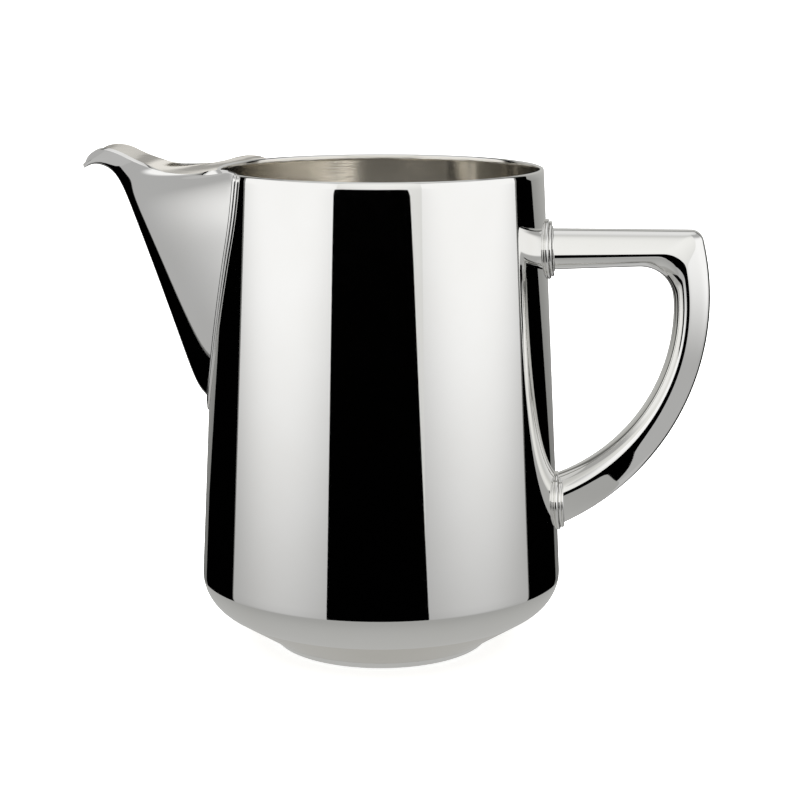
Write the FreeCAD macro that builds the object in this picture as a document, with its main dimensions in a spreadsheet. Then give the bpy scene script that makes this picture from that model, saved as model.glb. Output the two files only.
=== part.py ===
import FreeCAD, Part
import math
import os
import Sketcher

# Silver cream jug: a tapered hollow-ware body on a foot ring, with an applied sheet spout and a
# hollow D-shaped handle on two soldered sockets.
#
# Millimetres. +Z is up, the origin is the centre of the foot's resting plane, the handle is
# towards +X and the spout towards -X. The jug is symmetric about the XZ plane.

SIZES = {
    # body, spun from one sheet
    "rim_radius": 31.8,
    "rim_height": 95.2,
    "shoulder_width": 36.1,
    "shoulder_height": 14.5,
    "shoulder_bend": 7.6,
    "base_radius": 22.6,
    "base_height": 1.2,
    "dome_radius": 17.0,
    "dome_rise": 1.1,
    "body_sheet": 0.8,
    # foot ring
    "foot_radius": 21.8,
    "foot_flare": 24.2,
    "foot_inner": 19.4,
    "foot_rise": 2.6,
    # pouring window in the body wall, behind the spout
    "window_band": 4.0,
    "window_depth": 32.0,
    "window_half_top": 14.0,
    "window_half_low": 5.0,
    "window_corner": 3.0,
    # spout and the reeded wire round its joint
    "spout_sheet": 0.8,
    "keel_half": 3.0,
    "wire_gap": 0.05,
    "wire_width": 2.2,
    "wire_rise": 0.6,
    # handle
    "handle_top": 83.5,
    "handle_sunk": 3.8,
    "handle_under_root": 75.4,
    "handle_under_tip": 76.2,
    "handle_corner": 2.4,
    "handle_throat": 6.4,
    "outer_bow": 49.9,
    "outer_bow_inset": 17.2,
    "outer_bow_z": 69.1,
    "inner_bow": 35.5,
    "inner_bow_inset": 9.8,
    "inner_bow_z": 67.4,
    "handle_width": 7.6,
    "handle_edge": 2.2,
    "handle_sheet": 0.8,
    # sockets and the wires round them
    "upper_socket_across": 8.6,
    "lower_socket_across": 10.4,
    "lower_socket_drop": 0.7,
    "socket_rise": 1.5,
    "upper_collar_wire": 1.6,
    "lower_collar_wire": 0.7,
    "collar_rise": 1.2,
}

# Spout stations on the body wall, from the chin up: how far below the rim the keel is, how
# far it stands out of the wall, and half the width of the spout where it leaves the wall.
WALL_STATIONS = (
    (48.6, -2.0, 2.0),
    (46.6, -0.1, 4.2),
    (45.0, 1.9, 6.4),
    (42.6, 3.4, 8.6),
    (38.8, 5.0, 11.0),
    (30.7, 8.2, 14.0),
    (22.7, 11.4, 16.2),
    (16.3, 14.0, 17.8),
    (9.2, 17.0, 19.4),
)
# Spout stations beyond the wall, out to the tip: the keel's place below the rim and out from
# it, then the free edge's place below and out from the rim, and its half width.
LIP_STATIONS = (
    (5.9, 18.7, 0.3, -8.6, 20.2),
    (3.9, 19.5, 0.4, -0.3, 16.1),
    (2.3, 20.3, 0.5, 6.2, 12.0),
    (1.05, 21.2, 0.0, 11.2, 8.7),
    (0.25, 22.3, -1.4, 15.7, 7.1),
    (-0.2, 23.5, -3.15, 19.7, 6.7),
    (-0.3, 24.8, -3.4, 22.8, 5.4),
    (0.0, 26.0, -2.2, 25.2, 3.2),
    (0.6, 26.9, 0.0, 26.8, 0.9),
)
WALL_BITE = 1.6
HALF_STEPS = 8
SECTION_FULLNESS = 0.35
JOINT_POINTS = 33

# Lean of the straight body wall from the vertical, as an expression.
LEAN = (
    "atan((sizes.shoulder_width - sizes.rim_radius)"
    " / (sizes.rim_height - sizes.shoulder_height))"
)
# Where the drawn shoulder starts its bend, before the sketch settles it: degrees from level.
UNDERSIDE_SLOPE = 33
# How far a socket's rod runs each way from the wall's surface before it is trimmed, mm.
ROD_REACH = 5
# Where the handle's rounds are centred, and where it ends inside the wall, as expressions.
HANDLE_ROOT = "(sizes.rim_radius - sizes.handle_sunk)"
OUTER_BOW_X = "(sizes.rim_radius - sizes.outer_bow_inset)"
INNER_BOW_X = "(sizes.rim_radius - sizes.inner_bow_inset)"
# Each socket's height: the middle of the bar's end, and of the bow's end at the wall.
SOCKET_Z = {
    "upper": "((sizes.handle_top + sizes.handle_under_root) / 2)",
    "lower": (
        "((sizes.outer_bow_z + sizes.inner_bow_z"
        f" - sqrt(sizes.outer_bow^2 - (sizes.shoulder_width - {OUTER_BOW_X})^2)"
        f" - sqrt(sizes.inner_bow^2 - (sizes.shoulder_width - {INNER_BOW_X})^2)) / 2"
        " - sizes.lower_socket_drop)"
    ),
}
START, END, CENTRE = 1, 2, 3
ORIGIN, UP_AXIS = -1, -2
FAR = 60.0

doc = FreeCAD.newDocument("cream_jug")
sheet = doc.addObject("Spreadsheet::Sheet", "sizes")
for row, (name, value) in enumerate(SIZES.items(), start=1):
    sheet.set(f"A{row}", name)
    sheet.set(f"B{row}", str(value))
    sheet.setAlias(f"B{row}", name)
doc.recompute()


def size(name):
    return float(getattr(sheet, name))


def wall_radius(z):
    """Outer radius of the straight body wall at height z."""
    spread = size("shoulder_width") - size("rim_radius")
    height = size("rim_height") - size("shoulder_height")
    return size("rim_radius") + spread / height * (size("rim_height") - z)


def make(kind, name, bound=None, **settings):
    """Adds an object, sets its plain properties and binds the others to the sheet."""
    thing = doc.addObject(kind, name)
    for prop, value in settings.items():
        setattr(thing, prop, value)
    for prop, expression in (bound or {}).items():
        thing.setExpression(prop, expression)
    return thing


def outline(name, corners, middles=None, smooth=(), crosswise=False):
    """A closed sketch through the corners, in the XZ plane or, if crosswise, the YZ plane.

    A piece runs from each corner to the next, as an arc where middles has a point for it, and
    the pieces in smooth run on into the next one with no corner. Returns the sketch and, for
    each piece, the numbers of its first and last vertex.
    """
    sketch = make("Sketcher::SketchObject", name)
    turn = FreeCAD.Rotation(FreeCAD.Vector(1, 0, 0), 90)
    if crosswise:
        turn = FreeCAD.Rotation(FreeCAD.Vector(0, 0, 1), 90) * turn
    sketch.Placement = FreeCAD.Placement(FreeCAD.Vector(), turn)
    middles = middles or {}
    ends = []
    for index, corner in enumerate(corners):
        first = FreeCAD.Vector(*corner, 0)
        last = FreeCAD.Vector(*corners[(index + 1) % len(corners)], 0)
        if index in middles:
            piece = Part.Arc(first, FreeCAD.Vector(*middles[index], 0), last)
        else:
            piece = Part.LineSegment(first, last)
        sketch.addGeometry(piece, False)
        forward = (sketch.getPoint(index, START) - first).Length < 1e-6
        ends.append((START, END) if forward else (END, START))
    for index in range(len(corners)):
        after = (index + 1) % len(corners)
        kind = "Tangent" if index in smooth else "Coincident"
        join(sketch, kind, index, ends[index][1], after, ends[after][0])
    return sketch, ends


def hold(sketch, kind, places, drawn, expression):
    """Ties a radius or a coordinate of the sketch, drawn at its true size, to the sheet."""
    index = sketch.addConstraint(Sketcher.Constraint(kind, *places, drawn))
    sketch.setExpression(f"Constraints[{index}]", expression)


def hold_corner(sketch, piece, vertex, x=None, y=None):
    corner = sketch.getPoint(piece, vertex)
    if x:
        hold(sketch, "DistanceX", (ORIGIN, START, piece, vertex), corner.x, x)
    if y:
        hold(sketch, "DistanceY", (ORIGIN, START, piece, vertex), corner.y, y)


def hold_radius(sketch, piece, expression):
    hold(sketch, "Radius", (piece,), sketch.Geometry[piece].Radius, expression)


def join(sketch, kind, *places):
    sketch.addConstraint(Sketcher.Constraint(kind, *places))


def revolve(name, sketch):
    return make(
        "Part::Revolution",
        name,
        Source=sketch,
        Axis=FreeCAD.Vector(0, 0, 1),
        Base=FreeCAD.Vector(),
        Angle=360,
        Solid=True,
    )


def cut(name, base, tool):
    return make("Part::Cut", name, Base=base, Tool=tool)


def common(name, *shapes):
    return make("Part::MultiCommon", name, Shapes=list(shapes))


def body_block():
    """The body as a filled block: domed base, sloping underside, bent shoulder, leaning wall."""
    rim = (size("rim_radius"), size("rim_height"))
    shoulder = (size("shoulder_width"), size("shoulder_height"))
    bend = size("shoulder_bend")
    base_z = size("base_height")
    dome = size("dome_radius")
    slope = math.radians(UNDERSIDE_SLOPE)
    below = (shoulder[0] - bend * (1 - math.sin(slope)), shoulder[1] - bend * math.cos(slope))
    belly = (shoulder[0] - bend * 0.2, shoulder[1] - bend * 0.6)
    corners = [
        (0, base_z + size("dome_rise")),
        (dome, base_z),
        (size("base_radius"), base_z),
        below,
        shoulder,
        rim,
        (0, rim[1]),
    ]
    middles = {0: (dome / 2, base_z + size("dome_rise") * 0.75), 3: belly}
    dome_arc, ledge, underside, shoulder_arc, wall, top, axis = range(7)
    sketch, ends = outline("body_outline", corners, middles, (underside, shoulder_arc))
    join(sketch, "PointOnObject", dome_arc, CENTRE, UP_AXIS)
    join(sketch, "PointOnObject", dome_arc, ends[dome_arc][0], UP_AXIS)
    join(sketch, "PointOnObject", axis, START, UP_AXIS)
    join(sketch, "Horizontal", ledge)
    join(sketch, "Horizontal", top)
    hold_corner(sketch, dome_arc, ends[dome_arc][0], y="sizes.base_height + sizes.dome_rise")
    hold_corner(sketch, ledge, START, "sizes.dome_radius", "sizes.base_height")
    hold_corner(sketch, ledge, END, "sizes.base_radius")
    hold_radius(sketch, shoulder_arc, "sizes.shoulder_bend")
    hold_corner(sketch, wall, START, "sizes.shoulder_width", "sizes.shoulder_height")
    hold_corner(sketch, wall, END, "sizes.rim_radius", "sizes.rim_height")
    return revolve("body_block", sketch)


def wall_cone(name, rise):
    """The cone of the straight wall, grown outwards by rise, from the shoulder to the rim."""
    return make(
        "Part::Cone",
        name,
        {
            "Radius1": f"sizes.shoulder_width + ({rise}) / cos({LEAN})",
            "Radius2": f"sizes.rim_radius + ({rise}) / cos({LEAN})",
            "Height": "sizes.rim_height - sizes.shoulder_height",
            "Placement.Base.z": "sizes.shoulder_height",
        },
    )


def body_shell(block):
    """The block hollowed to sheet thickness, open at the rim, with the pouring window."""
    doc.recompute()
    faces = block.Shape.Faces
    lid = max(range(len(faces)), key=lambda index: faces[index].CenterOfMass.z)
    hollow = make(
        "Part::Thickness",
        "body_hollow",
        {"Value": "-sizes.body_sheet"},
        Faces=(block, [f"Face{lid + 1}"]),
        Join=2,
    )
    low = "sizes.rim_height - sizes.window_band - sizes.window_depth"
    high = "sizes.rim_height - sizes.window_band"
    top_z = size("rim_height") - size("window_band")
    low_z = top_z - size("window_depth")
    wide = size("window_half_top")
    narrow = size("window_half_low")
    corners = [(-narrow, low_z), (narrow, low_z), (wide, top_z), (-wide, top_z)]
    sketch, _ = outline("window_outline", corners, crosswise=True)
    hold_corner(sketch, 0, START, "-sizes.window_half_low", low)
    hold_corner(sketch, 1, START, "sizes.window_half_low", low)
    hold_corner(sketch, 2, START, "sizes.window_half_top", high)
    hold_corner(sketch, 3, START, "-sizes.window_half_top", high)
    punch = make(
        "Part::Extrusion",
        "window_punch",
        {"LengthFwd": "sizes.shoulder_width * 1.5"},
        Base=sketch,
        DirMode="Custom",
        Dir=FreeCAD.Vector(-1, 0, 0),
        Solid=True,
    )
    doc.recompute()
    along = [
        (index + 1, size("window_corner"), size("window_corner"))
        for index, edge in enumerate(punch.Shape.Edges)
        if abs(edge.tangentAt(edge.FirstParameter).x) > 0.99
    ]
    rounded = make("Part::Fillet", "window_rounded", Base=punch, Edges=along)
    return cut("body_shell", hollow, rounded)


def foot_ring(block):
    """A spun ring, flared up to the underside of the body and shaped to it."""
    corners = [
        (size("foot_inner"), 0),
        (size("foot_radius"), 0),
        (size("foot_flare"), size("foot_rise")),
        (size("foot_inner"), size("foot_rise")),
    ]
    sketch, _ = outline("foot_outline", corners)
    join(sketch, "PointOnObject", 0, START, ORIGIN)
    join(sketch, "Horizontal", 0)
    join(sketch, "Horizontal", 2)
    hold_corner(sketch, 0, START, "sizes.foot_inner")
    hold_corner(sketch, 1, START, "sizes.foot_radius")
    hold_corner(sketch, 2, START, "sizes.foot_flare", "sizes.foot_rise")
    hold_corner(sketch, 3, START, "sizes.foot_inner")
    return cut("foot_ring", revolve("foot_blank", sketch), block)


def spout_sections():
    """Crosswise sections of the spout's outer face, from the chin to the tip."""
    rim_z = size("rim_height")
    rim_out = size("rim_radius")
    sections = []
    for drop, out, half in WALL_STATIONS:
        z = rim_z - drop
        depth = math.sqrt((wall_radius(z) - WALL_BITE) ** 2 - half**2)
        keel = FreeCAD.Vector(-wall_radius(z) - out, 0, z)
        sections.append(section(keel, FreeCAD.Vector(-depth, half, z)))
    for keel_drop, keel_out, edge_drop, edge_out, half in LIP_STATIONS:
        keel = FreeCAD.Vector(-rim_out - keel_out, 0, rim_z - keel_drop)
        edge = FreeCAD.Vector(-rim_out - edge_out, half, rim_z - edge_drop)
        sections.append(section(keel, edge))
    return sections


def section(keel, edge):
    """Points from one free edge round the keel to the other: rounded keel, nearly flat sides."""
    shoulder = keel + FreeCAD.Vector(0, min(size("keel_half"), edge.y / 2), 0)
    flank = shoulder + (edge - shoulder) * SECTION_FULLNESS
    curve = Part.BezierCurve()
    curve.setPoles([keel, shoulder, flank, edge])
    half = [curve.value(step / HALF_STEPS) for step in range(HALF_STEPS + 1)]
    return [FreeCAD.Vector(p.x, -p.y, p.z) for p in reversed(half[1:])] + half


def spout_skin():
    """The spout's outer face as one smooth surface."""
    surface = Part.BSplineSurface()
    surface.interpolate(spout_sections())
    skin = make("Part::Feature", "spout_skin")
    skin.Shape = surface.toShape()
    return skin


def spout(skin, bare_wall):
    """One pressed sheet, trimmed to the body wall."""
    pressed = make(
        "Part::Offset", "spout_pressed", {"Value": "sizes.spout_sheet"}, Source=skin, Fill=True
    )
    return cut("spout", pressed, bare_wall)


def joint_line(skin, bare_wall):
    """The line where the spout meets the wall, seen along X, from the -Y side to the other."""
    met = Part.Wire(Part.sortEdges(skin.Shape.section(bare_wall.Shape).Edges)[0])
    seen = [FreeCAD.Vector(0, p.y, p.z) for p in met.discretize(Number=JOINT_POINTS)]
    if seen[0].y > 0:
        seen.reverse()
    line = Part.BSplineCurve()
    line.interpolate(seen)
    return line


def joint_prism(name, line, grow):
    """Everything on the spout side within the joint line moved out by grow, past the rim."""
    span = line.LastParameter - line.FirstParameter
    moved = []
    for step in range(JOINT_POINTS):
        place = line.FirstParameter + span * step / (JOINT_POINTS - 1)
        along = line.tangent(place)[0]
        moved.append(line.value(place) + FreeCAD.Vector(0, along.z, -along.y) * grow)
    curve = Part.BSplineCurve()
    curve.interpolate(moved)
    above = size("rim_height") + 2 * size("wire_width")
    first, last = moved[0], moved[-1]
    lid = [last, FreeCAD.Vector(0, last.y, above), FreeCAD.Vector(0, first.y, above), first]
    profile = make("Part::Feature", f"{name}_profile")
    profile.Shape = Part.Wire([curve.toShape(), *Part.makePolygon(lid).Edges])
    return make(
        "Part::Extrusion",
        name,
        {"LengthFwd": "sizes.shoulder_width * 1.5"},
        Base=profile,
        DirMode="Custom",
        Dir=FreeCAD.Vector(-1, 0, 0),
        Solid=True,
    )


def spout_joint_wire(skin, bare_wall):
    """A strip of wire on the wall, all round the outside of the spout's joint."""
    doc.recompute()
    line = joint_line(skin, bare_wall)
    band = cut("wire_band", wall_cone("wire_cone", "sizes.wire_rise"), bare_wall)
    reach = joint_prism("wire_reach", line, size("wire_gap") + size("wire_width"))
    inside = joint_prism("wire_inside", line, size("wire_gap"))
    return common("spout_joint_wire", band, cut("wire_hoop", reach, inside))


def handle_outline():
    """Side view of the handle: flat top bar, tight outer corner, bowed back down to the wall."""
    root = size("rim_radius") - size("handle_sunk")
    top = size("handle_top")
    corner = size("handle_corner")
    throat = size("handle_throat")
    outer_x = size("rim_radius") - size("outer_bow_inset")
    outer_z = size("outer_bow_z")
    outer = size("outer_bow")
    inner_x = size("rim_radius") - size("inner_bow_inset")
    inner_z = size("inner_bow_z")
    inner = size("inner_bow")
    under_tip = size("handle_under_tip")
    corner_z = top - corner
    reach = outer - corner
    corner_x = outer_x + math.sqrt(reach**2 - (corner_z - outer_z) ** 2)
    throat_z = under_tip - throat
    throat_x = inner_x + math.sqrt((inner - throat) ** 2 - (throat_z - inner_z) ** 2)
    outer_end = FreeCAD.Vector(corner_x - outer_x, corner_z - outer_z, 0).normalize() * outer
    inner_end = FreeCAD.Vector(throat_x - inner_x, throat_z - inner_z, 0).normalize() * inner
    half_turn = math.sqrt(0.5)
    corners = [
        (root, top),
        (corner_x, top),
        (outer_x + outer_end.x, outer_z + outer_end.y),
        (root, outer_z - math.sqrt(outer**2 - (root - outer_x) ** 2)),
        (root, inner_z - math.sqrt(inner**2 - (root - inner_x) ** 2)),
        (inner_x + inner_end.x, inner_z + inner_end.y),
        (throat_x, under_tip),
        (root, size("handle_under_root")),
    ]
    middles = {
        1: (corner_x + corner * half_turn, corner_z + corner * half_turn),
        2: (outer_x + outer * half_turn, outer_z - outer * half_turn),
        4: (inner_x + inner * half_turn, inner_z - inner * half_turn),
        5: (throat_x + throat * half_turn, throat_z + throat * half_turn),
    }
    top_line, corner_arc, outer_arc, low_end, inner_arc, throat_arc, under, top_end = range(8)
    smooth = (top_line, corner_arc, inner_arc, throat_arc)
    sketch, ends = outline("handle_outline", corners, middles, smooth)
    join(sketch, "Horizontal", top_line)
    hold_corner(sketch, top_line, START, HANDLE_ROOT, "sizes.handle_top")
    hold_corner(sketch, top_end, START, HANDLE_ROOT, "sizes.handle_under_root")
    hold_corner(sketch, low_end, START, HANDLE_ROOT)
    hold_corner(sketch, low_end, END, HANDLE_ROOT)
    hold_corner(sketch, under, START, y="sizes.handle_under_tip")
    hold_radius(sketch, corner_arc, "sizes.handle_corner")
    hold_radius(sketch, throat_arc, "sizes.handle_throat")
    hold_radius(sketch, outer_arc, "sizes.outer_bow")
    hold_radius(sketch, inner_arc, "sizes.inner_bow")
    hold_corner(sketch, outer_arc, CENTRE, OUTER_BOW_X, "sizes.outer_bow_z")
    hold_corner(sketch, inner_arc, CENTRE, INNER_BOW_X, "sizes.inner_bow_z")
    return sketch


def handle_bar(name, profile, width, edge):
    """The outline given its width across the jug, with its long edges rounded."""
    bar = make(
        "Part::Extrusion",
        f"{name}_bar",
        {"LengthFwd": width},
        Base=profile,
        DirMode="Custom",
        Dir=FreeCAD.Vector(0, 1, 0),
        Symmetric=True,
        Solid=True,
    )
    doc.recompute()
    root = min(vertex.X for vertex in bar.Shape.Vertexes)
    long_edges = [
        (index + 1, edge, edge)
        for index, side in enumerate(bar.Shape.Edges)
        if side.BoundBox.YLength < 1e-6 and side.BoundBox.XMax > root + 1e-6
    ]
    return make("Part::Fillet", name, Base=bar, Edges=long_edges)


def handle_halves(socket_cone):
    """Two pressed halves of a hollow handle, meeting in the jug's plane of symmetry."""
    profile = handle_outline()
    hollow_profile = make(
        "Part::Offset2D", "handle_core_outline", {"Value": "-sizes.handle_sheet"}, Source=profile
    )
    core_edge = size("handle_edge") - size("handle_sheet")
    skin = handle_bar("handle_skin", profile, "sizes.handle_width", size("handle_edge"))
    core_width = "sizes.handle_width - 2 * sizes.handle_sheet"
    core = handle_bar("handle_core", hollow_profile, core_width, core_edge)
    tube = cut("handle_tube", cut("handle_hollow", skin, core), socket_cone)
    halves = []
    for name, low_y in (("handle_left_half", -FAR), ("handle_right_half", 0.0)):
        side = make("Part::Box", f"{name}_side", Length=2 * FAR, Width=FAR, Height=2 * FAR)
        side.Placement.Base = FreeCAD.Vector(0, low_y, 0)
        halves.append(common(name, tube, side))
    return halves


def square_to_wall(name, across, height):
    """A cylinder square to the wall at a height on the handle side, sunk through the wall."""
    rod = make(
        "Part::Cylinder",
        name,
        {
            "Radius": f"{across} / 2",
            "Placement.Base.x": (
                f"sizes.rim_radius + tan({LEAN}) * (sizes.rim_height - {height})"
                f" - {ROD_REACH} * cos({LEAN})"
            ),
            "Placement.Base.z": f"{height} - {ROD_REACH} * sin({LEAN})",
            "Placement.Rotation.Angle": f"90 deg - {LEAN}",
        },
        Height=2 * ROD_REACH,
    )
    rod.Placement.Rotation = FreeCAD.Rotation(FreeCAD.Vector(0, 1, 0), 87)
    return rod


def socket_and_collar(place, bare_wall, socket_cone, collar_cone):
    """A short socket seated on the wall, and the reeded wire bent round it."""
    height = SOCKET_Z[place]
    across = f"sizes.{place}_socket_across"
    over_wire = f"({across} + 2 * sizes.{place}_collar_wire)"
    plug = square_to_wall(f"{place}_plug", across, height)
    disc = square_to_wall(f"{place}_disc", over_wire, height)
    socket = cut(f"{place}_socket", common(f"{place}_boss", plug, socket_cone), bare_wall)
    flange = cut(f"{place}_flange", common(f"{place}_pad", disc, collar_cone), bare_wall)
    return socket, cut(f"{place}_collar_wire", flange, plug)


block = body_block()
bare_wall = wall_cone("bare_wall", "0")
socket_cone = wall_cone("socket_cone", "sizes.socket_rise")
collar_cone = wall_cone("collar_cone", "sizes.collar_rise")
skin = spout_skin()
nodes = [
    body_shell(block),
    foot_ring(block),
    spout(skin, bare_wall),
    spout_joint_wire(skin, bare_wall),
    *handle_halves(socket_cone),
    *socket_and_collar("upper", bare_wall, socket_cone, collar_cone),
    *socket_and_collar("lower", bare_wall, socket_cone, collar_cone),
]
doc.recompute()

for thing in doc.Objects:
    if "Invalid" in thing.State or "Error" in thing.State:
        raise SystemExit(f"{thing.Name} did not build: {thing.State}")
for node in nodes:
    if node.Shape.isNull() or not node.Shape.isValid():
        raise SystemExit(f"{node.Label} has no valid shape")

os.makedirs("parts", exist_ok=True)
for node in nodes:
    node.Shape.exportStep(f"parts/{node.Label}.step")
    print(f"{node.Label}: {len(node.Shape.Solids)} solid, {node.Shape.Volume:.1f} mm3")
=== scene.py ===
import math

import bmesh
import bpy
from mathutils import Matrix, Vector


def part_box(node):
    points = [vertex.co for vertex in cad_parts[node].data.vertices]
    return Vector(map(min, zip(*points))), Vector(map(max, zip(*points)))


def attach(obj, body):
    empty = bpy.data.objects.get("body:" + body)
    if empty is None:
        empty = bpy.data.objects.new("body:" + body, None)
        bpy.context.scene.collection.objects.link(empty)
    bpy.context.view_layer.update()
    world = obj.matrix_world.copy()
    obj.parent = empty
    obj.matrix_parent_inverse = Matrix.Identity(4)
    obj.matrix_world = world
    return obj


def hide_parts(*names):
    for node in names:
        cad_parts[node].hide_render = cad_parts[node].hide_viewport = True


# A silver cream jug in polished plate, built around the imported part. Metres; +Z is up, the
# handle is towards +X and the spout towards -X.

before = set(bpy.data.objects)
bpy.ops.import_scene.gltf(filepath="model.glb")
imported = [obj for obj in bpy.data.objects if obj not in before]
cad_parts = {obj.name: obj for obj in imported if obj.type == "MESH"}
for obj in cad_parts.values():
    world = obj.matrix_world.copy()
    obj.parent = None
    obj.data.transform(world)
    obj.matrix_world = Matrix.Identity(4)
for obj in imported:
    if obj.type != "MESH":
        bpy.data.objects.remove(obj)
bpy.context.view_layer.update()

MM = 0.001

# ---- the jug's own sizes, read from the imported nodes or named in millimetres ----
shell_low, shell_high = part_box("body_shell")
_, foot_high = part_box("foot_ring")

RIM_R = 31.8
RIM_Z = shell_high.z / MM
SHOULDER_R = 36.1  # where the straight wall ends and the bend begins
SHOULDER_Z = 14.5
BEND = 7.6  # outer radius of the bend between the wall and the underside
BASE_R = 22.6  # flat edge of the base, inside the foot ring
BASE_Z = shell_low.z / MM
DOME_R = 17.0  # the base is pushed up inside this radius
DOME_RISE = 1.1
SHEET = 0.8
RIM_ROUND = 0.3
EASED = 0.3  # share of a rounding left over at its halfway point

AROUND = 192  # divisions of anything turned about the jug's axis
WELD = 1e-6


def mm(*values):
    """A point given in millimetres."""
    return Vector(values) * MM


def wall_radius(z):
    """Outer radius of the tapered wall at height z, in millimetres."""
    return RIM_R + (SHOULDER_R - RIM_R) / (RIM_Z - SHOULDER_Z) * (RIM_Z - z)


def lean():
    """How far the wall leans in from upright, in radians."""
    return math.atan((SHOULDER_R - RIM_R) / (RIM_Z - SHOULDER_Z))


# ---- materials ----

TARNISH_PATCHES = 60.0  # patches of faint tarnish to a metre
HAIRLINES = (900, 900, 900)
BRUSH_RINGS = (260, 260, 5200)


def srgb(code):
    """A hex colour, such as F2EFE9, as linear red, green, blue and alpha."""
    parts = [int(code[at : at + 2], 16) / 255 for at in (0, 2, 4)]
    return [p / 12.92 if p <= 0.04045 else ((p + 0.055) / 1.055) ** 2.4 for p in parts] + [1.0]


def add_node(tree, kind, settings=None, inputs=None):
    """Adds a node, sets its properties, and sets or links its inputs."""
    node = tree.nodes.new(kind)
    for name, value in (settings or {}).items():
        setattr(node, name, value)
    for name, value in (inputs or {}).items():
        if isinstance(value, bpy.types.NodeSocket):
            tree.links.new(value, node.inputs[name])
        else:
            node.inputs[name].default_value = value
    return node


def plate(name, colour, tarnish, shine, scratch_stretch, scratch_depth):
    """Silver plate: a mirror metal whose polish lines and faint tarnish break up the gloss.

    shine is the least and greatest roughness, and scratch_stretch how fine the polish lines
    are along X, Y and Z, in lines a metre.
    """
    material = bpy.data.materials.new(name)
    material.use_nodes = True
    tree = material.node_tree
    shader = tree.nodes["Principled BSDF"]
    shader.inputs["Metallic"].default_value = 1.0
    place = add_node(tree, "ShaderNodeTexCoord").outputs["Object"]
    cloud = add_node(
        tree,
        "ShaderNodeTexNoise",
        inputs={"Vector": place, "Scale": TARNISH_PATCHES, "Detail": 4.0, "Roughness": 0.55},
    )
    tint = add_node(
        tree,
        "ShaderNodeMix",
        {"data_type": "RGBA"},
        {"Factor": cloud.outputs["Fac"], "A": srgb(colour), "B": srgb(tarnish)},
    )
    tree.links.new(tint.outputs["Result"], shader.inputs["Base Color"])
    along = add_node(
        tree, "ShaderNodeMapping", inputs={"Vector": place, "Scale": scratch_stretch}
    )
    lines = add_node(
        tree,
        "ShaderNodeTexNoise",
        inputs={"Vector": along.outputs["Vector"], "Scale": 1.0, "Detail": 3.0},
    )
    polish = add_node(
        tree,
        "ShaderNodeMapRange",
        inputs={"Value": lines.outputs["Fac"], "To Min": shine[0], "To Max": shine[1]},
    )
    tree.links.new(polish.outputs["Result"], shader.inputs["Roughness"])
    relief = add_node(
        tree,
        "ShaderNodeBump",
        inputs={"Height": lines.outputs["Fac"], "Strength": 1.0, "Distance": scratch_depth},
    )
    tree.links.new(relief.outputs["Normal"], shader.inputs["Normal"])
    return material


# Buffed silver plate: a clean mirror, very slightly warm, whose hairlines are too shallow to see
# one by one and only soften its brightest edges.
MIRROR = plate(
    "buffed_silver_plate", "F5F5F4", "EFEEEB", (0.015, 0.04), HAIRLINES, 0.0000004
)
# Satin plate inside the body, as the lathe's wire brush leaves it: rings round the wall, and a
# soft warm grey where the outside is a mirror.
SATIN = plate(
    "satin_silver_plate", "E6E3DC", "DAD6CE", (0.09, 0.16), BRUSH_RINGS, 0.000012
)


# ---- making pieces ----


def build(name, bm, materials):
    """An object made of the drawn mesh, at the origin."""
    mesh = bpy.data.meshes.new(name)
    bm.to_mesh(mesh)
    bm.free()
    for material in materials:
        mesh.materials.append(material)
    thing = bpy.data.objects.new(name, mesh)
    bpy.context.scene.collection.objects.link(thing)
    return thing


def piece(name, bm, nodes, materials=(MIRROR,)):
    """Finishes a mesh as a piece that rides on the jug and stands for its CAD nodes."""
    for face in bm.faces:
        face.smooth = True
    thing = build(name, bm, materials)
    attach(thing, "root")
    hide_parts(*nodes)
    return thing


def chain(bm, points, closed=False):
    """Vertices at the points, in millimetres, joined by edges. Returns both."""
    verts = [bm.verts.new(mm(*point)) for point in points]
    pairs = zip(verts, verts[1:] + ([verts[0]] if closed else []))
    return verts, [bm.edges.new(pair) for pair in pairs]


def turn(bm, edges, steps=AROUND):
    """Turns a profile in the XZ plane right round the jug's axis."""
    verts = list({vert for edge in edges for vert in edge.verts})
    bmesh.ops.spin(
        bm,
        geom=verts + edges,
        axis=(0, 0, 1),
        cent=(0, 0, 0),
        angle=math.tau,
        steps=steps,
        use_merge=True,
    )
    bmesh.ops.remove_doubles(bm, verts=bm.verts, dist=WELD)
    bmesh.ops.recalc_face_normals(bm, faces=bm.faces)


def arc(centre, radius, start, end, steps):
    """Points on a circle in the XZ plane, its angles in degrees from +X towards +Z."""
    points = []
    for step in range(steps + 1):
        angle = math.radians(start + (end - start) * step / steps)
        x = centre[0] + radius * math.cos(angle)
        points.append((x, 0, centre[1] + radius * math.sin(angle)))
    return points


def straight(start, end, steps):
    """Points from start up to but not including end."""
    return [tuple(a + (b - a) * step / steps for a, b in zip(start, end)) for step in range(steps)]


def loft(bm, rows, closed=False):
    """A skin through rows of points: the first row is drawn, and each next one extruded to."""
    verts, edges = chain(bm, rows[0], closed)
    first = edges
    for row in rows[1:]:
        made = bmesh.ops.extrude_edge_only(bm, edges=edges)["geom"]
        fresh = {vert for vert in made if isinstance(vert, bmesh.types.BMVert)}
        following = []
        for vert in verts:
            link = next(e.other_vert(vert) for e in vert.link_edges if e.other_vert(vert) in fresh)
            following.append(link)
        for vert, point in zip(following, row):
            vert.co = mm(*point)
        verts = following
        edges = [e for e in made if isinstance(e, bmesh.types.BMEdge) and set(e.verts) <= fresh]
    return first, edges


def fit(thing, kind, name, **settings):
    """Adds a modifier."""
    modifier = thing.modifiers.new(name, kind)
    for key, value in settings.items():
        setattr(modifier, key, value)


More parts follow.
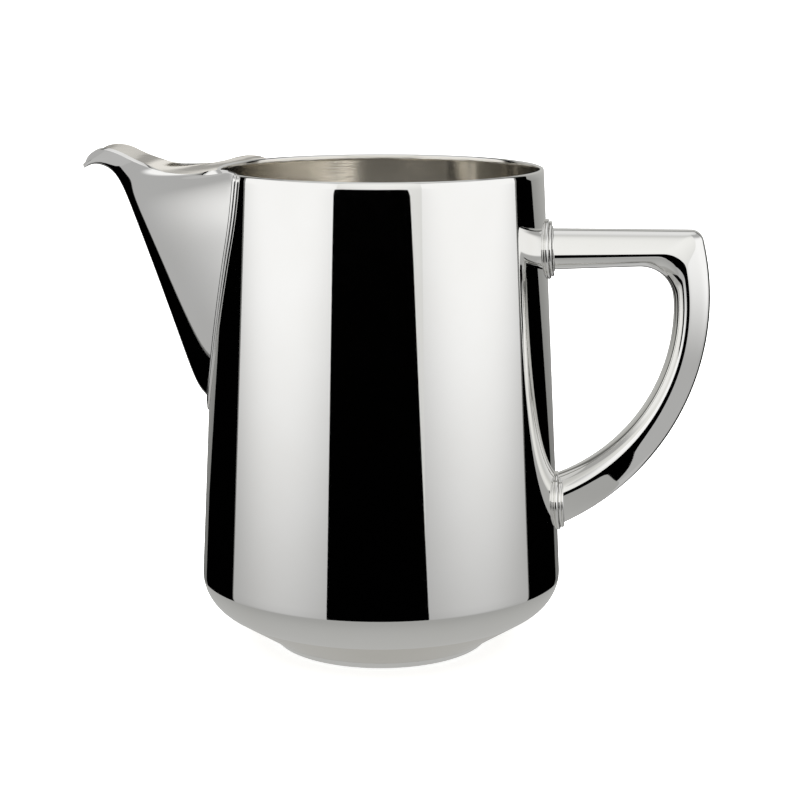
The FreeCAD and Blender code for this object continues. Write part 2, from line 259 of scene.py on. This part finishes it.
def settle(thing):
    """Applies a piece's modifiers to its mesh."""
    bpy.context.view_layer.update()
    graph = bpy.context.evaluated_depsgraph_get()
    mesh = bpy.data.meshes.new_from_object(thing.evaluated_get(graph))
    thing.modifiers.clear()
    old = thing.data
    thing.data = mesh
    bpy.data.meshes.remove(old)


# ---- the body: a spun sheet with a plain rolled rim ----

DOME_STEPS = 12
LEDGE_STEPS = 6
UNDER_STEPS = 12
BEND_STEPS = 28
WALL_STEPS = 60
SATIN_BELOW = 0.5  # the satin starts this far below the rim
RIM_BAND = 4.0  # wall left whole above the pouring window
WINDOW_DEEP = 32.0
WINDOW_LOW_HALF = 5
WINDOW_TOP_HALF = 14
WINDOW_ROUND = 3.0
WINDOW_ROUND_STEPS = 6
PUNCH_X = -50
PUNCH_LONG = 35


def body_profile(inset):
    """The body's outline from the axis up to the rim, moved in by inset."""
    slope = lean()
    bend = BEND - inset
    centre = (
        SHOULDER_R - BEND * math.cos(slope),
        SHOULDER_Z - BEND * math.sin(slope),
    )
    # the underside runs from the base's edge to the bend, meeting the bend smoothly
    away = math.hypot(centre[0] - BASE_R, centre[1] - BASE_Z)
    to_centre = math.atan2(centre[1] - BASE_Z, centre[0] - BASE_R)
    rise = to_centre - math.asin(BEND / away)
    under_end = math.degrees(rise) - 90
    touch = (
        centre[0] + bend * math.cos(math.radians(under_end)),
        centre[1] + bend * math.sin(math.radians(under_end)),
    )
    base_z = BASE_Z + inset
    base_end = touch[0] - (touch[1] - base_z) / math.tan(rise)
    dome = []
    for step in range(DOME_STEPS):
        share = step / DOME_STEPS
        dome.append((DOME_R * share, 0, base_z + DOME_RISE * (1 - share**2)))
    ledge = straight((DOME_R, 0, base_z), (base_end, 0, base_z), LEDGE_STEPS)
    under = straight((base_end, 0, base_z), (touch[0], 0, touch[1]), UNDER_STEPS)
    bend_points = arc(centre, bend, under_end, math.degrees(slope), BEND_STEPS)
    wall_foot = bend_points.pop()
    wall_top = (RIM_R - inset / math.cos(slope), 0, RIM_Z)
    wall = straight(wall_foot, wall_top, WALL_STEPS)
    return dome + ledge + under + bend_points + wall, wall_top


def body_shell():
    """The spun body: its outline outside and inside, joined over a rounded rim."""
    outer, outer_top = body_profile(0)
    inner, inner_top = body_profile(SHEET)
    bm = bmesh.new()
    halfway = EASED * RIM_ROUND
    rim = [
        (outer_top[0], 0, RIM_Z - RIM_ROUND),
        (outer_top[0] - halfway, 0, RIM_Z - halfway),
        (outer_top[0] - RIM_ROUND, 0, RIM_Z),
        (inner_top[0] + RIM_ROUND, 0, RIM_Z),
        (inner_top[0] + halfway, 0, RIM_Z - halfway),
        (inner_top[0], 0, RIM_Z - RIM_ROUND),
    ]
    _, edges = chain(bm, outer + rim + list(reversed(inner)))
    turn(bm, edges)
    for face in bm.faces:
        middle = face.calc_center_median()
        if middle.z < (RIM_Z - SATIN_BELOW) * MM and is_inside(middle):
            face.material_index = 1
    return piece("body_shell_plate", bm, ["body_shell"], (MIRROR, SATIN))


def is_inside(middle):
    """Whether a point of the shell's surface is on its inner side."""
    radius = math.hypot(middle.x, middle.y) / MM
    height = middle.z / MM
    if height > SHOULDER_Z:
        return radius < wall_radius(height) - SHEET / 2
    return distance_to_outer(radius, height) > SHEET / 2


def distance_to_outer(radius, height):
    """How far a point is from the body's outer outline, in millimetres."""
    points = body_profile(0)[0]
    return min(math.hypot(radius - x, height - z) for x, _, z in points)


def pouring_window(shell):
    """Punches the pouring window through the wall behind the spout."""
    top = RIM_Z - RIM_BAND
    low = top - WINDOW_DEEP
    bm = bmesh.new()
    corners = [
        (PUNCH_X, -WINDOW_LOW_HALF, low),
        (PUNCH_X, WINDOW_LOW_HALF, low),
        (PUNCH_X, WINDOW_TOP_HALF, top),
        (PUNCH_X, -WINDOW_TOP_HALF, top),
    ]
    verts, _ = chain(bm, corners, closed=True)
    bm.faces.new(verts)
    bmesh.ops.bevel(
        bm,
        geom=verts,
        offset=WINDOW_ROUND * MM,
        segments=WINDOW_ROUND_STEPS,
        profile=0.5,
        affect="VERTICES",
        material=-1,
    )
    made = bmesh.ops.extrude_face_region(bm, geom=list(bm.faces))["geom"]
    moved = [part for part in made if isinstance(part, bmesh.types.BMVert)]
    bmesh.ops.translate(bm, verts=moved, vec=mm(PUNCH_LONG, 0, 0))
    bmesh.ops.recalc_face_normals(bm, faces=bm.faces)
    punch = build("window_punch", bm, ())
    fit(shell, "BOOLEAN", "window", object=punch, operation="DIFFERENCE", solver="EXACT")
    settle(shell)
    bpy.data.objects.remove(punch)


# ---- the foot ring ----

FOOT_INNER = 19.4
FOOT_OUTER = 21.8
FOOT_FLARE = 24.2
FOOT_RISE = 2.6
FOOT_SLOPE = (FOOT_FLARE - FOOT_OUTER) / FOOT_RISE  # how fast the ring widens going up
FOOT_TOP = foot_high.z / MM
FOOT_ROUND = 0.25
FOOT_LAP = 0.1  # the ring's upper edge, run up into the solder under the body
FOOT_LEDGE = 0.6


def foot_ring():
    """A flared ring, its foot rounded where it stands."""
    bm = bmesh.new()
    flared = FOOT_OUTER + FOOT_SLOPE * FOOT_TOP
    points = [
        (FOOT_INNER, 0, BASE_Z + FOOT_LAP),
        (FOOT_INNER, 0, FOOT_ROUND),
        (FOOT_INNER + FOOT_ROUND, 0, 0),
        (FOOT_OUTER - FOOT_ROUND, 0, 0),
        (FOOT_OUTER, 0, FOOT_ROUND),
    ]
    for share in (0.25, 0.6):
        rise = share * (FOOT_TOP - FOOT_ROUND)
        points.append((FOOT_OUTER + FOOT_SLOPE * rise, 0, FOOT_ROUND + rise))
    points.append((flared, 0, FOOT_TOP + FOOT_LAP / 2))
    points.append((flared - FOOT_LEDGE, 0, FOOT_TOP + FOOT_LAP))
    _, edges = chain(bm, points, closed=True)
    turn(bm, edges)
    piece("foot_ring_plate", bm, ["foot_ring"])


# ---- the spout: one pressed sheet, lofted from chin to tip ----

# drop of the keel below the rim, its distance out of the wall, and half the spout's width there
WALL_STATIONS = (
    (48.6, -2.0, 2.0),
    (46.6, -0.1, 4.2),
    (45.0, 1.9, 6.4),
    (42.6, 3.4, 8.6),
    (38.8, 5.0, 11.0),
    (30.7, 8.2, 14.0),
    (22.7, 11.4, 16.2),
    (16.3, 14.0, 17.8),
    (9.2, 17.0, 19.4),
)
# keel below and out from the rim, free edge below and out from the rim, and half width
LIP_STATIONS = (
    (5.9, 18.7, 0.3, -8.6, 20.2),
    (3.9, 19.5, 0.4, -0.3, 16.1),
    (2.3, 20.3, 0.5, 6.2, 12.0),
    (1.05, 21.2, 0.0, 11.2, 8.7),
    (0.25, 22.3, -1.4, 15.7, 7.1),
    (-0.2, 23.5, -3.15, 19.7, 6.7),
    (-0.3, 24.8, -3.4, 22.8, 5.4),
    (0.0, 26.0, -2.2, 25.2, 3.2),
    (0.6, 26.9, 0.0, 26.8, 0.9),
)
CHIN_DROP = WALL_STATIONS[1][0]
SPOUT_SEAT = 0.5  # how far the spout's edge sits in the wall's thickness
WALL_RUN_IN = 1.6  # how far inside the wall the sections are drawn to
KEEL_HALF = 3.0  # half the keel's flat
FULLNESS = 0.35  # how far the keel's round is carried up the side
HALF_STEPS = 8
ROWS_BETWEEN = 3
FAIRING = 8
FREE_FROM = 4  # the fairing is full from this many lines in from the edge
HALVINGS = 30
SEAT_CLEAR = 0.1  # kept between the seated edge and the wall's inner face
EDGE_ROUND = 0.2
EDGE_ANGLE = math.radians(50)


def spout_bend(keel, edge):
    """The keel-to-edge curve's four control points."""
    shoulder = keel + Vector((0, min(KEEL_HALF, edge.y / 2), 0))
    return keel, shoulder, shoulder + (edge - shoulder) * FULLNESS, edge


def on_bend(poles, t):
    """The point at t along a curve, from 0 at the keel to 1 at the edge."""
    a, b, c, d = poles
    s = 1 - t
    return a * s**3 + b * 3 * s * s * t + c * 3 * s * t * t + d * t**3


def wall_station(drop, out, half):
    """The curve at one height from the keel to the joint, run on a little into the wall."""
    z = RIM_Z - drop
    keel = Vector((-wall_radius(z) - out, 0, z))
    deep = math.sqrt((wall_radius(z) - WALL_RUN_IN) ** 2 - half**2)
    return spout_bend(keel, Vector((-deep, half, z))), z


def reach_of(poles, radius):
    """How far along the curve it comes within radius of the jug's axis."""
    low, high = 0.0, 1.0
    for _ in range(HALVINGS):
        middle = (low + high) / 2
        point = on_bend(poles, middle)
        if math.hypot(point.x, point.y) > radius:
            low = middle
        else:
            high = middle
    return high


def across_spout(poles, radius):
    """A row of points over the keel, from the joint on one side to the joint on the other."""
    reach = reach_of(poles, radius - SPOUT_SEAT)
    half = [on_bend(poles, reach * step / HALF_STEPS) for step in range(HALF_STEPS + 1)]
    return [(p.x, -p.y, p.z) for p in reversed(half[1:])] + [tuple(p) for p in half]


def spout_rows():
    """The spout's rows of points, from under the chin to the tip."""
    rows = []
    for drop, out, half in WALL_STATIONS:
        poles, z = wall_station(drop, out, half)
        rows.append(across_spout(poles, wall_radius(z)))
    for keel_drop, keel_out, edge_drop, edge_out, half in LIP_STATIONS:
        keel = Vector((-RIM_R - keel_out, 0, RIM_Z - keel_drop))
        edge = Vector((-RIM_R - edge_out, half, RIM_Z - edge_drop))
        rows.append(across_spout(spout_bend(keel, edge), RIM_R))
    return rows


def faired(rows):
    """The rows joined by smooth lines, more rows drawn between them, and ripples eased out."""
    lines = [smooth_line(line, ROWS_BETWEEN) for line in zip(*rows)]
    rows = [list(row) for row in zip(*lines)]
    for _ in range(FAIRING):
        eased = [list(row) for row in rows]
        for before, row, after, new in zip(rows, rows[1:], rows[2:], eased[1:]):
            for index, at in enumerate(row):
                ease = min(index, len(row) - 1 - index, FREE_FROM) / FREE_FROM
                middle = (before[index] + after[index]) / 2
                new[index] = at + (middle - at) * ease / 2
        rows = eased
    return rows


def face_outwards(bm, side):
    """Turns a skin so that its face furthest towards side along Y faces that way."""
    bmesh.ops.recalc_face_normals(bm, faces=bm.faces)
    furthest = max(bm.faces, key=lambda face: side * face.calc_center_median().y)
    if furthest.normal.y * side < 0:
        bmesh.ops.reverse_faces(bm, faces=bm.faces)


def spout():
    """The pressed sheet, smoothed, given its thickness inward, and its edge rounded."""
    bm = bmesh.new()
    loft(bm, faired(spout_rows()[1:]))
    face_outwards(bm, -1)
    thing = piece("spout_plate", bm, ["spout"], (MIRROR, SATIN))
    fit(thing, "SUBSURF", "smooth", levels=2, render_levels=2)
    fit(
        thing,
        "SOLIDIFY",
        "sheet",
        thickness=SHEET * MM,
        offset=-1,
        use_even_offset=True,
        material_offset=1,
    )
    fit(
        thing,
        "BEVEL",
        "edge",
        width=EDGE_ROUND * MM,
        segments=3,
        limit_method="ANGLE",
        angle_limit=EDGE_ANGLE,
    )
    settle(thing)
    seat_in_wall(thing)


def seat_in_wall(thing):
    """Keeps the spout's seated edge within the thickness of the wall it is soldered to."""
    for vert in thing.data.vertices:
        radius = math.hypot(vert.co.x, vert.co.y)
        least = (wall_radius(vert.co.z / MM) - SHEET + SEAT_CLEAR) * MM
        if radius < least:
            vert.co.x *= least / radius
            vert.co.y *= least / radius


# ---- wires on the wall ----

LINE_STEPS = 8
REEDS = ((1.0, 0.5), (1.88, 0.37))  # each reed's distance from the joint, and its radius
REED_STEPS = 10
REED_SUNK = 0.35
BELOW_RIM = 0.02
JOINT_FLARE = 0.9  # the joint's last widening at the rim
BEADS = ((0.28, 0.40, 11.8), (0.95, 0.30, 10.9))  # each bead's lift, radius and width over all
COLLAR_STEPS = 96
BEAD_STEPS = 16
# the socket's side: out from its radius, and off the wall
SOCKET_SIDE = ((0, -0.55), (0, 0.9), (0.18, 1.0), (0.22, 1.15), (0.18, 1.3), (-0.1, 1.42))


def joint_line():
    """Where the spout meets the wall, as points from the rim on the -Y side to the other rim."""
    side = []
    for drop, out, half in WALL_STATIONS[2:]:
        poles, z = wall_station(drop, out, half)
        at = on_bend(poles, reach_of(poles, wall_radius(z)))
        side.append((at.y, z))
    side.append((side[-1][0] + JOINT_FLARE, RIM_Z))
    below = [(-y, z) for y, z in reversed(side)]
    return below + [(0, RIM_Z - CHIN_DROP)] + side


def smooth_line(points, steps):
    """Points along a smooth spline through the given ones."""
    curve = bpy.data.curves.new("line", "CURVE")
    curve.dimensions = "3D"
    curve.resolution_u = steps
    spline = curve.splines.new("BEZIER")
    spline.bezier_points.add(len(points) - 1)
    for knot, point in zip(spline.bezier_points, points):
        knot.co = point
        knot.handle_left_type = knot.handle_right_type = "AUTO"
    thing = bpy.data.objects.new("line", curve)
    mesh = bpy.data.meshes.new_from_object(thing)
    run = [vert.co.copy() for vert in mesh.vertices]
    bpy.data.objects.remove(thing)
    bpy.data.meshes.remove(mesh)
    bpy.data.curves.remove(curve)
    return run


def on_wall(y, z, side):
    """The point of the wall's surface at y and z, on the +X or -X side, and its outward normal."""
    radius = wall_radius(z)
    x = side * math.sqrt(radius**2 - y**2)
    normal = Vector((x, y, 0)).normalized() * math.cos(lean()) + Vector((0, 0, math.sin(lean())))
    return Vector((x, y, z)), normal


def reed(centre, radius):
    """One reed's half-round, from the wall on one side up and over to the other."""
    points = [(centre - radius, -REED_SUNK)]
    for step in range(REED_STEPS + 1):
        angle = math.pi * (1 - step / REED_STEPS)
        points.append((centre + radius * math.cos(angle), radius * math.sin(angle)))
    return points + [(centre + radius, -REED_SUNK)]


def spout_joint_wire():
    """Two reeds side by side round the spout's joint: the wider one next to the spout."""
    line = smooth_line([(0, y, z) for y, z in joint_line()], LINE_STEPS)
    bm = bmesh.new()
    for centre, radius in REEDS:
        rows = []
        for index, at in enumerate(line):
            before = line[max(index - 1, 0)]
            after = line[min(index + 1, len(line) - 1)]
            along = (after - before).normalized()
            row = []
            for across, height in reed(centre, radius):
                y = at.y + along.z * across
                z = at.z - along.y * across
                surface, normal = on_wall(y, min(z, RIM_Z - BELOW_RIM), -1)
                row.append(tuple(surface + normal * height))
            rows.append(row)
        first, last = loft(bm, rows, closed=True)
        bmesh.ops.edgeloop_fill(bm, edges=first)
        bmesh.ops.edgeloop_fill(bm, edges=last)
    bmesh.ops.recalc_face_normals(bm, faces=bm.faces)
    piece("spout_joint_reeds", bm, ["spout_joint_wire"])


def collar(place, height):
    """Two beads of wire stacked off the wall, bent to it round a socket."""
    bm = bmesh.new()
    for lift, bead, across in BEADS:
        rows = []
        ring = across / 2 - bead
        for step in range(COLLAR_STEPS):
            angle = math.tau * step / COLLAR_STEPS
            row = []
            for bead_step in range(BEAD_STEPS):
                round_bead = math.tau * bead_step / BEAD_STEPS
                reach = ring + bead * math.cos(round_bead)
                surface, normal = on_wall(
                    reach * math.sin(angle), height + reach * math.cos(angle), 1
                )
                row.append(tuple(surface + normal * (lift + bead * math.sin(round_bead))))
            rows.append(row)
        loft(bm, rows + [rows[0]], closed=True)
    bmesh.ops.remove_doubles(bm, verts=bm.verts, dist=WELD)
    bmesh.ops.recalc_face_normals(bm, faces=bm.faces)
    piece(f"{place}_collar_beads", bm, [f"{place}_collar_wire"])


def socket(place, height, across):
    """A short tube square to the wall, with a rounded lip where the handle is soldered on."""
    bm = bmesh.new()
    side = [(across / 2 + out, 0, lift) for out, lift in SOCKET_SIDE]
    profile = [(0, 0, side[0][2])] + side + [(0, 0, side[-1][2])]
    _, edges = chain(bm, profile)
    turn(bm, edges, COLLAR_STEPS)
    surface, _ = on_wall(0, height, 1)
    square = Matrix.Rotation(math.pi / 2 - lean(), 4, "Y")
    bmesh.ops.transform(bm, matrix=Matrix.Translation(surface * MM) @ square, verts=bm.verts)
    piece(f"{place}_socket_plate", bm, [f"{place}_socket"])


# ---- the handle: two pressed halves of a hollow D ----

ROOT_TOP = 83.5
UNDER_ROOT = 75.4
UNDER_TIP = 76.2
OUTER_CORNER = 2.4
THROAT = 6.4
OUTER_BOW = (14.6, 69.1, 49.9)  # centre along X, centre height and radius
INNER_BOW = (22.0, 67.4, 35.5)
HANDLE_HALF = 3.8
SEAM = 0.02
ROOT_X = 33.2  # where the bar starts, inside the upper socket
BOW_END_X = 35.4  # where the bows end, inside the lower socket
BAR_STEPS = 14
CORNER_STEPS = 8
BOW_STEPS = 44
# One side of the handle in section, as shares of its depth, from the outer edge, and of its half
# width: a tight outer round, a long flat flank out to a soft ridge, then a full inner round.
HANDLE_SIDE = (
    (0.0, 0.0),
    (0.0, 0.30),
    (0.02, 0.46),
    (0.07, 0.62),
    (0.15, 0.72),
    (0.28, 0.81),
    (0.42, 0.90),
    (0.54, 0.975),
    (0.60, 1.0),
    (0.66, 0.985),
    (0.74, 0.90),
    (0.84, 0.74),
    (0.93, 0.52),
    (0.985, 0.27),
    (1.0, 0.0),
)


def handle_line(bow, level, corner, root_z):
    """One edge of the handle in side view: along the bar, round the corner and down the bow."""
    x, z, radius = bow
    corner_z = level - corner
    corner_x = x + math.sqrt((radius - corner) ** 2 - (corner_z - z) ** 2)
    turn_end = math.degrees(math.atan2(corner_z - z, corner_x - x))
    bar = straight((ROOT_X, 0, root_z), (corner_x, 0, level), BAR_STEPS)
    bend = arc((corner_x, corner_z), corner, 90, turn_end, CORNER_STEPS)[:-1]
    bow_end = -math.degrees(math.acos((BOW_END_X - x) / radius))
    return bar + bend + arc((x, z), radius, turn_end, bow_end, BOW_STEPS)


def handle_section(outer, inner):
    """Points from the handle's outer edge round one side to its inner edge."""
    outer, inner = Vector(outer), Vector(inner)
    return [
        outer + (inner - outer) * inward + Vector((0, HANDLE_HALF * across, 0))
        for inward, across in HANDLE_SIDE
    ]


def handle_half(name, side):
    """One pressed half of the handle, on the side of the seam given by the sign of Y."""
    outer = handle_line(OUTER_BOW, ROOT_TOP, OUTER_CORNER, ROOT_TOP)
    inner = handle_line(INNER_BOW, UNDER_TIP, THROAT, UNDER_ROOT)
    bm = bmesh.new()
    rows = []
    for back, front in zip(outer, inner):
        section = handle_section(back, front)
        rows.append([(p.x, side * (p.y + SEAM), p.z) for p in section])
    loft(bm, rows)
    face_outwards(bm, side)
    thing = piece(name, bm, [name.replace("_plate", "")])
    fit(thing, "SUBSURF", "smooth", levels=2, render_levels=2)
    fit(thing, "SOLIDIFY", "sheet", thickness=SHEET * MM, offset=-1, use_even_offset=True)


# ---- the studio: a ring of lit cards and black cloths, in metres, seen only in the plate ----

VIEW_AZ = 4.5
VIEW_EL = 12.0
VIEW_AWAY = 0.380
AIM = mm(3.8, 0, 48.8)
SPREAD = (0.7, 0.7, 1.5)  # how fast a card's light falls away, sideways and upward
CARD_STEPS = 40
CARD_LOW = -0.9
CEILING_Z = 1.55
COVER_R = 1.1
PANEL_AWAY = 1.0
CLOTH_AWAY = 0.97
SCRIM_AWAY = 1.1
FLOOR_R = 6.0
FLOOR_Z = -0.00005
TABLE_R = 0.068
TABLE_FORWARD = 0.02
TABLE_Z = -0.00002
GLOW_CARD_R = 0.029
GLOW_CARD_Z = 0.06
DISC_SEGMENTS = 96
# Each row: a height, and the bearings of the cloth's two edges in degrees from the camera.
FRONT_CLOTH = (
    (CARD_LOW, -33, 30),
    (-0.2, -33, 29.5),
    (0.05, -31.5, 22),
    (0.1, -31, 20),
    (0.12, -29.5, 18),
    (0.135, -26, 13),
)
SIDE_CLOTH = ((CARD_LOW, 106, 150), (-0.2, 106, 150), (0.13, 107, 121), (0.9, 107, 118))


def round_about(azimuth, away, z):
    """A place by its direction from the jug, degrees from the camera, its distance and height."""
    angle = math.radians(azimuth + VIEW_AZ)
    return (away * math.sin(angle), -away * math.cos(angle), z)


def glow(name, colour, bright, dim, centre, near, far):
    """A lit card: bright at its centre, falling off to dim between the two distances from it."""
    material = bpy.data.materials.new(name)
    material.use_nodes = True
    tree = material.node_tree
    tree.nodes.remove(tree.nodes["Principled BSDF"])
    place = add_node(tree, "ShaderNodeTexCoord").outputs["Object"]
    back = [-at * scale for at, scale in zip(centre, SPREAD)]
    away = add_node(
        tree, "ShaderNodeMapping", inputs={"Vector": place, "Location": back, "Scale": SPREAD}
    )
    off = add_node(
        tree, "ShaderNodeVectorMath", {"operation": "LENGTH"}, {0: away.outputs["Vector"]}
    )
    fall = add_node(
        tree,
        "ShaderNodeMapRange",
        {"interpolation_type": "SMOOTHSTEP"},
        {
            "Value": off.outputs["Value"],
            "From Min": near,
            "From Max": far,
            "To Min": bright,
            "To Max": dim,
        },
    )
    light = add_node(
        tree,
        "ShaderNodeEmission",
        inputs={"Color": srgb(colour), "Strength": fall.outputs["Result"]},
    )
    tree.links.new(light.outputs["Emission"], tree.nodes["Material Output"].inputs["Surface"])
    return material


def only_reflected(thing):
    """Keeps a card out of sight, so that it shows only in the plate."""
    thing.visible_camera = False
    thing.visible_diffuse = False
    thing.visible_shadow = False


def stage_card(name, outline, away, material):
    """A curved card facing the jug. Each row of its outline is a height and two bearings."""
    bm = bmesh.new()
    rows = []
    for z, start, end in outline:
        row = []
        for step in range(CARD_STEPS + 1):
            x, y, _ = round_about(start + (end - start) * step / CARD_STEPS, away, z)
            row.append((x / MM, y / MM, z / MM))
        rows.append(row)
    loft(bm, rows)
    thing = build(name, bm, [material])
    only_reflected(thing)


def disc(name, radius, centre, material):
    """A flat round card, level."""
    bm = bmesh.new()
    bmesh.ops.create_circle(bm, cap_ends=True, segments=DISC_SEGMENTS, radius=radius)
    bmesh.ops.translate(bm, verts=bm.verts, vec=centre)
    thing = build(name, bm, [material])
    return thing


def panel(name, start, end, high, colour, bright, dim, peak, fall):
    """A lit card between two bearings, brightest at the height peak in mid width."""
    centre = round_about((start + end) / 2, PANEL_AWAY, peak)
    lit = glow(name, colour, bright, dim, centre, *fall)
    stage_card(name, ((CARD_LOW, start, end), (high, start, end)), PANEL_AWAY, lit)


def cards():
    """What the plate mirrors: white at both sides, black strips between, grey behind."""
    for name, start, end in (("left_panel", -106, -29), ("right_panel", 28, 106)):
        panel(
            name,
            start,
            end,
            high=1.6,
            colour="FFFFFF",
            bright=1.03,
            dim=0.45,
            peak=0.3,
            fall=(0.4, 0.95),
        )
    panel(
        "back_panel",
        105,
        255,
        high=1.4,
        colour="E6E6E3",
        bright=0.66,
        dim=0.22,
        peak=0.4,
        fall=(0.4, 1.1),
    )
    scrim = glow("front_scrim", "FAFAF8", 1.0, 0.7, round_about(0, SCRIM_AWAY, 0.5), 0.1, 1.2)
    stage_card("front_scrim", ((CARD_LOW, -34, 34), (1.6, -34, 34)), SCRIM_AWAY, scrim)
    dark = glow("black_cloth", "050505", 0.2, 0.1, (0, 0, 0), 0.2, 1.0)
    stage_card("front_flag", FRONT_CLOTH, CLOTH_AWAY, dark)
    stage_card("right_flag", SIDE_CLOTH, CLOTH_AWAY, dark)
    other_side = [(z, -start, -end) for z, start, end in SIDE_CLOTH]
    stage_card("left_flag", other_side, CLOTH_AWAY, dark)
    # soft grey above and below, which close the ring of cards
    above = glow("ceiling_card", "FFFFFF", 0.85, 0.7, (0, 0, CEILING_Z), 0.1, 0.8)
    only_reflected(disc("ceiling_card", COVER_R, (0, 0, CEILING_Z), above))
    below = glow("low_card", "FFFFFF", 0.55, 0.5, (0, 0, CARD_LOW), 0.1, 0.8)
    only_reflected(disc("low_card", COVER_R, (0, 0, CARD_LOW), below))
    # painted light: a glowing card hung inside the jug, brighter towards the spout, seen only by
    # the satin lining, where it shows as a painted reflection
    inner = glow("painted_interior_glow_card", "FFFFFF", 2.2, 0.26, (-RIM_R * MM, 0, GLOW_CARD_Z), 0.0125, 0.015)
    only_reflected(disc("painted_interior_glow_card", GLOW_CARD_R, (0, 0, GLOW_CARD_Z), inner))


def tables():
    """The pale floor the camera sees, and the small grey glowing card the plate sees instead of
    it: painted shade for the floor in the jug's shadow.
    """
    pale = bpy.data.materials.new("matt_white_table")
    pale.use_nodes = True
    shader = pale.node_tree.nodes["Principled BSDF"]
    shader.inputs["Base Color"].default_value = srgb("FBFBFA")
    shader.inputs["Roughness"].default_value = 0.9
    shader.inputs["Specular IOR Level"].default_value = 0.0
    shader.inputs["Emission Color"].default_value = srgb("FFFFFF")
    shader.inputs["Emission Strength"].default_value = 0.55
    floor = disc("floor", FLOOR_R, (0, 0, FLOOR_Z), pale)
    floor.visible_glossy = False
    # painted shade: a grey glowing card, seen only in the plate, stands in for the floor shaded
    # under the jug
    grey = glow("floor_shade_card", "E4E4E2", 0.62, 0.5, (0, 0, 0), 0.02, 0.05)
    only_reflected(disc("table_card", TABLE_R, round_about(0, TABLE_FORWARD, TABLE_Z), grey))


def lights():
    """Even white all round, and one soft lamp overhead."""
    world = bpy.data.worlds.new("studio")
    bpy.context.scene.world = world
    world.use_nodes = True
    backdrop = world.node_tree.nodes["Background"]
    backdrop.inputs["Color"].default_value = srgb("FFFFFF")
    backdrop.inputs["Strength"].default_value = 1.15
    lamp = bpy.data.lights.new("overhead_softbox", "AREA")
    lamp.shape = "DISK"
    lamp.size = 1.2
    lamp.energy = 14
    hung = bpy.data.objects.new("overhead_softbox", lamp)
    hung.location = (0, 0, 1.5)
    hung.visible_glossy = False
    bpy.context.scene.collection.objects.link(hung)
    bpy.context.scene.view_settings.view_transform = "Standard"


def camera():
    """Looks slightly down on the jug from the front."""
    lens = bpy.data.cameras.new("camera")
    lens.sensor_width = 36
    lens.lens = 85.5
    lens.clip_start = 0.01
    thing = bpy.data.objects.new("camera", lens)
    bpy.context.scene.collection.objects.link(thing)
    az, el = math.radians(VIEW_AZ), math.radians(VIEW_EL)
    back = Vector((math.sin(az) * math.cos(el), -math.cos(az) * math.cos(el), math.sin(el)))
    thing.location = AIM + back * VIEW_AWAY
    thing.rotation_euler = back.to_track_quat("Z", "Y").to_euler()
    bpy.context.scene.camera = thing


camera()
cards()
tables()
lights()
shell = body_shell()
pouring_window(shell)
foot_ring()
spout()
spout_joint_wire()
for place, across in (("upper", 8.6), ("lower", 10.4)):
    low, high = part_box(f"{place}_socket")
    height = (low.z + high.z) / 2 / MM
    collar(place, height)
    socket(place, height, across)
handle_half("handle_left_half_plate", -1)
handle_half("handle_right_half_plate", 1)
